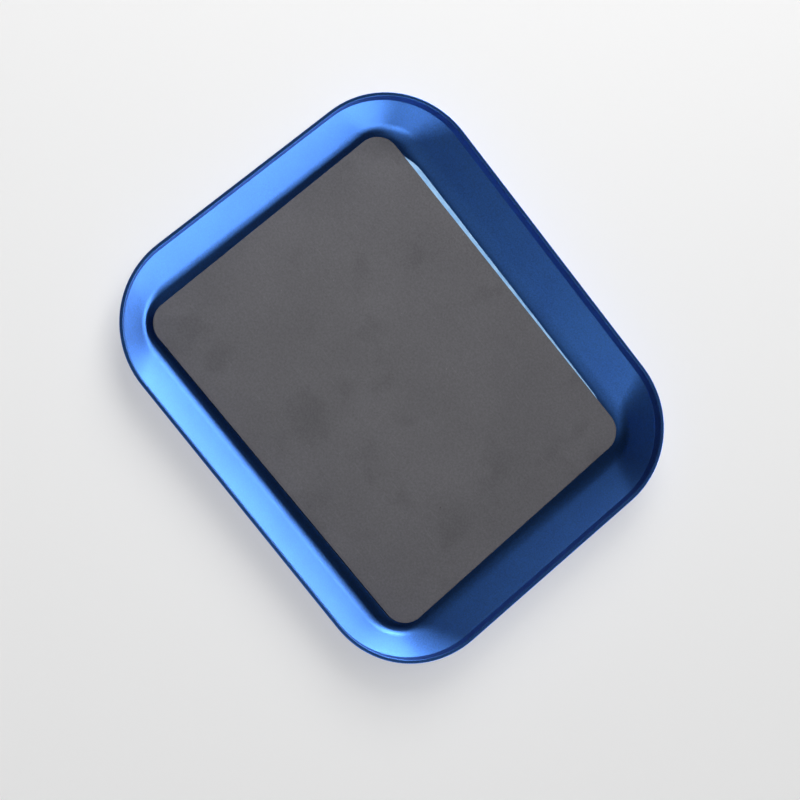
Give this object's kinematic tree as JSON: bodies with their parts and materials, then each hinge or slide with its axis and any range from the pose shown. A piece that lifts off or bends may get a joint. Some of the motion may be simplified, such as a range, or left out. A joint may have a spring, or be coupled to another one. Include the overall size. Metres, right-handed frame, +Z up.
{
  "type": "magnetic parts tray",
  "caption": "Shallow rounded-rectangle dish in blue anodised aluminium with flared walls, a short upright lip and a magnetic rubber mat on its floor that holds small steel parts.",
  "frame": {"origin": "middle of the flat base, on the surface that the tray stands on", "axes": "+X along the tray's long side, +Y across it, +Z up out of the open dish"},
  "size_m": [0.106, 0.088, 0.0095],
  "materials": {
    "anodised_aluminium": "bead-blasted and anodised, satin",
    "adhesive_film": "matt",
    "ferrite_rubber": "matt"
  },
  "bodies": {
    "root": {"tray_shell": "anodised_aluminium", "mat_adhesive": "adhesive_film", "magnet_mat": "ferrite_rubber"}
  },
  "joints": []
}
